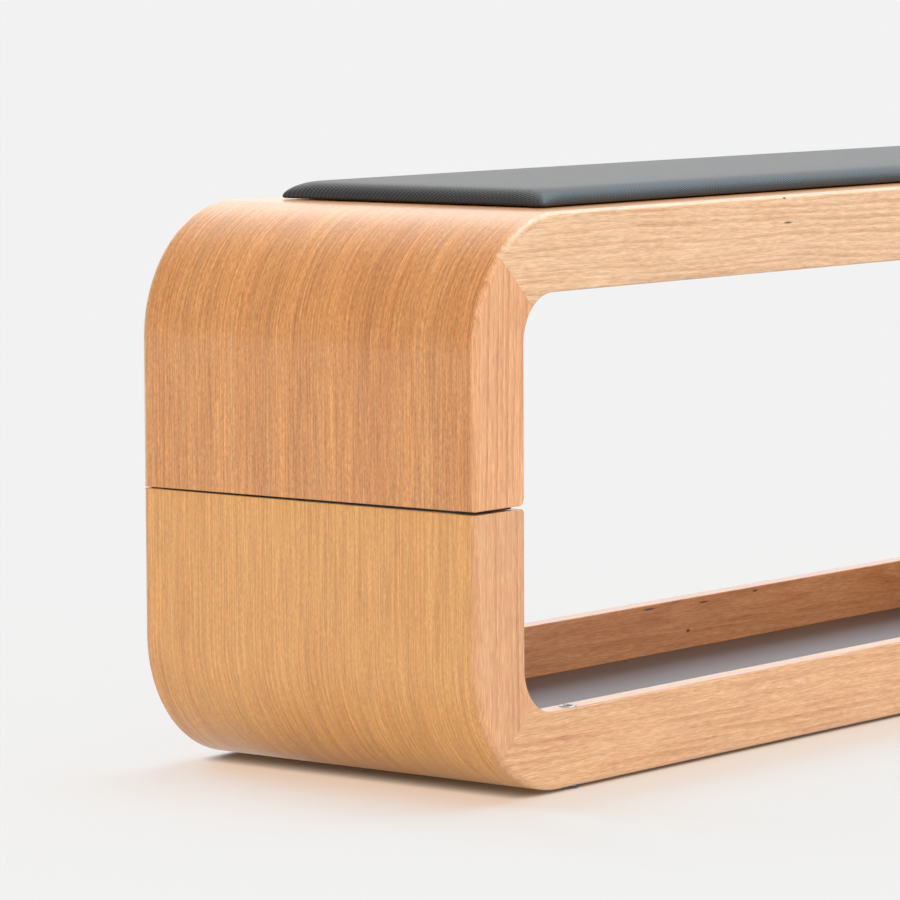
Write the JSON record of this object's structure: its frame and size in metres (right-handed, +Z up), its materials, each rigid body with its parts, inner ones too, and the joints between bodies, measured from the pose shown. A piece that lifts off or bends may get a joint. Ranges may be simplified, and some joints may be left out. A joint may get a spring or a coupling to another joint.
{
  "type": "bench",
  "caption": "Loop-shaped oak bench: two stacked U halves with large rounded corners, a tray between low rails at the bottom, and a thin upholstered pad on the seat.",
  "frame": {"origin": "on the floor, under the centre of the bench", "axes": "+X along the bench, +Y to the rear, +Z up"},
  "size_m": [1.2, 0.325, 0.452],
  "materials": {
    "solid_oak": "satin lacquer, flat-sawn grain along each rail and stile",
    "oak_veneer": "satin lacquer, straight fine grain running round the bend",
    "plywood": "bare sanded face",
    "grey_laminate": "matt",
    "zinc_steel": "zinc plated",
    "rubber": "matt",
    "nylon": "matt",
    "leatherette": "black, fine woven emboss, soft sheen",
    "foam": "open-cell foam"
  },
  "bodies": {
    "lower_half": {"corner_bolt_front_left": "zinc_steel", "corner_bolt_front_right": "zinc_steel", "corner_bolt_rear_left": "zinc_steel", "corner_bolt_rear_right": "zinc_steel", "glide_front_left": "nylon", "glide_front_right": "nylon", "glide_rear_left": "nylon", "glide_rear_right": "nylon", "locating_pin_front_left": "zinc_steel", "locating_pin_front_right": "zinc_steel", "locating_pin_rear_left": "zinc_steel", "locating_pin_rear_right": "zinc_steel", "lower_front_rail": "solid_oak", "lower_front_stile_left": "solid_oak", "lower_front_stile_right": "solid_oak", "lower_leg_block_left": "solid_oak", "lower_leg_block_right": "solid_oak", "lower_leg_panel_left": "oak_veneer", "lower_leg_panel_right": "oak_veneer", "lower_rear_rail": "solid_oak", "lower_rear_stile_left": "solid_oak", "lower_rear_stile_right": "solid_oak", "lower_skin": "plywood", "lower_veneer": "oak_veneer", "sleeve_nut_front_left": "zinc_steel", "sleeve_nut_front_right": "zinc_steel", "sleeve_nut_rear_left": "zinc_steel", "sleeve_nut_rear_right": "zinc_steel", "spacer_strip_left": "rubber", "spacer_strip_right": "rubber", "tray_base": "plywood", "tray_liner": "grey_laminate"},
    "upper_half": {"pad_board": "plywood", "pad_cover": "leatherette", "pad_foam": "foam", "pad_screw_front_left": "zinc_steel", "pad_screw_front_right": "zinc_steel", "pad_screw_rear_left": "zinc_steel", "pad_screw_rear_right": "zinc_steel", "seat_batten_1": "solid_oak", "seat_batten_2": "solid_oak", "seat_batten_3": "solid_oak", "seat_board": "plywood", "upper_front_rail": "solid_oak", "upper_front_stile_left": "solid_oak", "upper_front_stile_right": "solid_oak", "upper_leg_block_left": "solid_oak", "upper_leg_block_right": "solid_oak", "upper_leg_panel_left": "oak_veneer", "upper_leg_panel_right": "oak_veneer", "upper_rear_rail": "solid_oak", "upper_rear_stile_left": "solid_oak", "upper_rear_stile_right": "solid_oak", "upper_skin": "plywood", "upper_veneer": "oak_veneer"}
  },
  "joints": [
    {"name": "upper_lift", "type": "slide", "parent": "lower_half", "child": "upper_half", "axis": [0, 0, 1], "range_m": [0, 0.06]}
  ]
}
